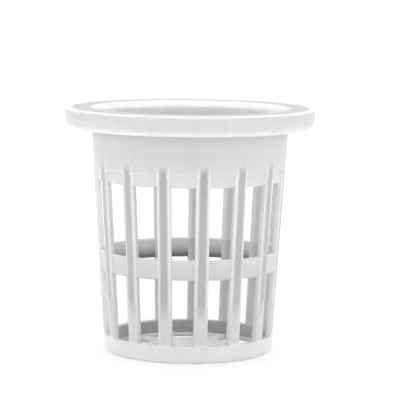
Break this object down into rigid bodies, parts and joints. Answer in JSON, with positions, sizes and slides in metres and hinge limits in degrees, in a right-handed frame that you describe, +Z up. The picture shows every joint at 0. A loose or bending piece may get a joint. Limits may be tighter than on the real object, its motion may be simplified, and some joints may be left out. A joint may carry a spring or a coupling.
{
  "type": "hydroponic net pot",
  "caption": "Tapered one-piece plastic net pot with a wide hollow rim, a lattice wall of ribs and hoops and an open spoked base, hung in a hole to hold a plant in hydroponics.",
  "frame": {"origin": "centre of the underside of the base", "axes": "+Z up along the pot's axis to the mouth, -Y the front, with a window of each row centred on it"},
  "size_m": [0.0508, 0.0508, 0.05],
  "materials": {
    "natural_polypropylene": "injection moulded, translucent milky white, satin gloss"
  },
  "bodies": {
    "root": {"net_pot": "natural_polypropylene"}
  },
  "joints": []
}
